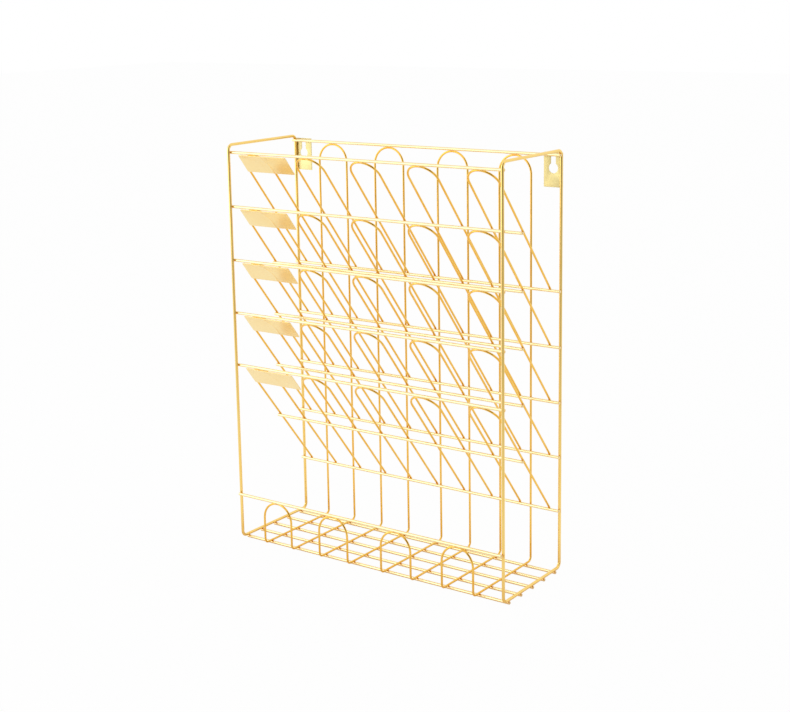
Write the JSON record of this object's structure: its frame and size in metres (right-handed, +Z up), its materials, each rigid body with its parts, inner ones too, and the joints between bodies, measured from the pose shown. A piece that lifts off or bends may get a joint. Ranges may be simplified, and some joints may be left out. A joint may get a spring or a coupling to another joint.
{
  "type": "wire document rack",
  "caption": "Tiered wire document rack with slanted arched shelves, label plates, a wire floor and keyhole hangers for a wall; also stands on a desk.",
  "frame": {"origin": "middle of the footprint, on the surface that the floor wires stand on", "axes": "+Z up, +X to the viewer's right, the open front faces -Y and the wall side faces +Y"},
  "size_m": [0.32, 0.1124, 0.4149],
  "materials": {
    "frame_wire": "polished gold plating",
    "rail_wire": "polished gold plating",
    "thin_wire": "polished gold plating",
    "label_sheet": "satin gold plating",
    "hanger_sheet": "satin gold plating"
  },
  "bodies": {
    "root": {"left_side_frame": "frame_wire", "right_side_frame": "frame_wire", "back_top_rail": "rail_wire", "lower_front_rail": "rail_wire", "front_rail_1": "rail_wire", "front_rail_2": "rail_wire", "front_rail_3": "rail_wire", "front_rail_4": "rail_wire", "front_rail_5": "rail_wire", "middle_rail_1": "rail_wire", "middle_rail_2": "rail_wire", "middle_rail_3": "rail_wire", "middle_rail_4": "rail_wire", "middle_rail_5": "rail_wire", "back_rail_1": "rail_wire", "back_rail_2": "rail_wire", "back_rail_3": "rail_wire", "back_rail_4": "rail_wire", "back_rail_5": "rail_wire", "tier_1_arch_1": "thin_wire", "tier_1_arch_2": "thin_wire", "tier_1_arch_3": "thin_wire", "tier_1_arch_4": "thin_wire", "tier_1_arch_5": "thin_wire", "tier_2_arch_1": "thin_wire", "tier_2_arch_2": "thin_wire", "tier_2_arch_3": "thin_wire", "tier_2_arch_4": "thin_wire", "tier_2_arch_5": "thin_wire", "tier_3_arch_1": "thin_wire", "tier_3_arch_2": "thin_wire", "tier_3_arch_3": "thin_wire", "tier_3_arch_4": "thin_wire", "tier_3_arch_5": "thin_wire", "tier_4_arch_1": "thin_wire", "tier_4_arch_2": "thin_wire", "tier_4_arch_3": "thin_wire", "tier_4_arch_4": "thin_wire", "tier_4_arch_5": "thin_wire", "tier_5_arch_1": "thin_wire", "tier_5_arch_2": "thin_wire", "tier_5_arch_3": "thin_wire", "tier_5_arch_4": "thin_wire", "tier_5_arch_5": "thin_wire", "floor_loop_1": "thin_wire", "floor_loop_2": "thin_wire", "floor_loop_3": "thin_wire", "floor_loop_4": "thin_wire", "floor_wire_1": "rail_wire", "floor_wire_2": "rail_wire", "floor_wire_3": "rail_wire", "floor_wire_4": "rail_wire", "floor_wire_5": "rail_wire", "label_plate_1": "label_sheet", "label_plate_2": "label_sheet", "label_plate_3": "label_sheet", "label_plate_4": "label_sheet", "label_plate_5": "label_sheet", "left_hanger_plate": "hanger_sheet", "right_hanger_plate": "hanger_sheet"}
  },
  "joints": []
}
